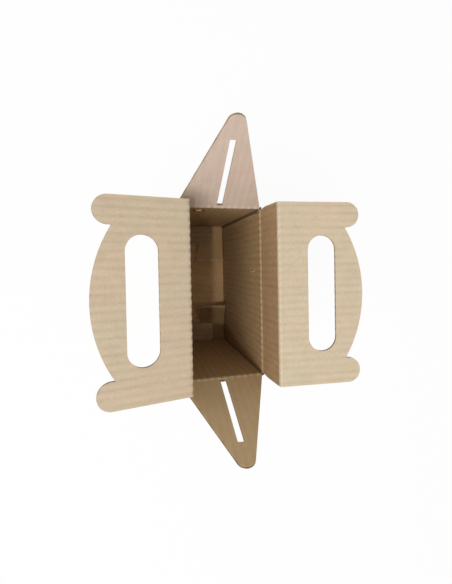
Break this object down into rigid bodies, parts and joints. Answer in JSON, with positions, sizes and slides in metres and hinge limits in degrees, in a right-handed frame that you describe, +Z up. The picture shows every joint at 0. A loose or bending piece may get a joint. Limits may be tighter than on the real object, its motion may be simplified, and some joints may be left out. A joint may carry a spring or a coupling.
{
  "type": "corrugated carrying box",
  "caption": "Open gable-top carrying box of corrugated kraft board with folding roof and handle panels, slit end flaps and an interlocked base.",
  "frame": {"origin": "middle of the base's underside", "axes": "+X across the box to its right wall, +Y along the box to its rear end flap, +Z up"},
  "size_m": [0.2241, 0.2546, 0.2712],
  "materials": {
    "kraft_board": "matt brown kraft liner"
  },
  "bodies": {
    "carton": {"carton_body": "kraft_board"},
    "left_roof": {"left_roof_panel": "kraft_board"},
    "right_roof": {"right_roof_panel": "kraft_board"},
    "left_handle": {"left_handle_panel": "kraft_board"},
    "right_handle": {"right_handle_panel": "kraft_board"},
    "rear_flap": {"rear_end_flap": "kraft_board"},
    "front_flap": {"front_end_flap": "kraft_board"}
  },
  "joints": [
    {"name": "left_roof_crease", "type": "hinge", "parent": "carton", "child": "left_roof", "pos_m": [-0.0408, 0, 0.182], "axis": [0, 1, 0], "range_deg": [-101.3, 60.35]},
    {"name": "right_roof_crease", "type": "hinge", "parent": "carton", "child": "right_roof", "pos_m": [0.0408, 0, 0.182], "axis": [0, -1, 0], "range_deg": [-86.5, 75.15]},
    {"name": "left_handle_crease", "type": "hinge", "parent": "left_roof", "child": "left_handle", "pos_m": [-0.03271, 0, 0.2225], "axis": [0, -1, 0], "range_deg": [-89.7, 15.3]},
    {"name": "right_handle_crease", "type": "hinge", "parent": "right_roof", "child": "right_handle", "pos_m": [0.04332, 0, 0.22322], "axis": [0, 1, 0], "range_deg": [-80.9, 24.1]},
    {"name": "rear_flap_crease", "type": "hinge", "parent": "carton", "child": "rear_flap", "pos_m": [0, 0.08, 0.182], "axis": [-1, 0, 0], "range_deg": [-84.9, 55.1]},
    {"name": "front_flap_crease", "type": "hinge", "parent": "carton", "child": "front_flap", "pos_m": [0, -0.08, 0.182], "axis": [1, 0, 0], "range_deg": [-72.8, 67.2]}
  ]
}
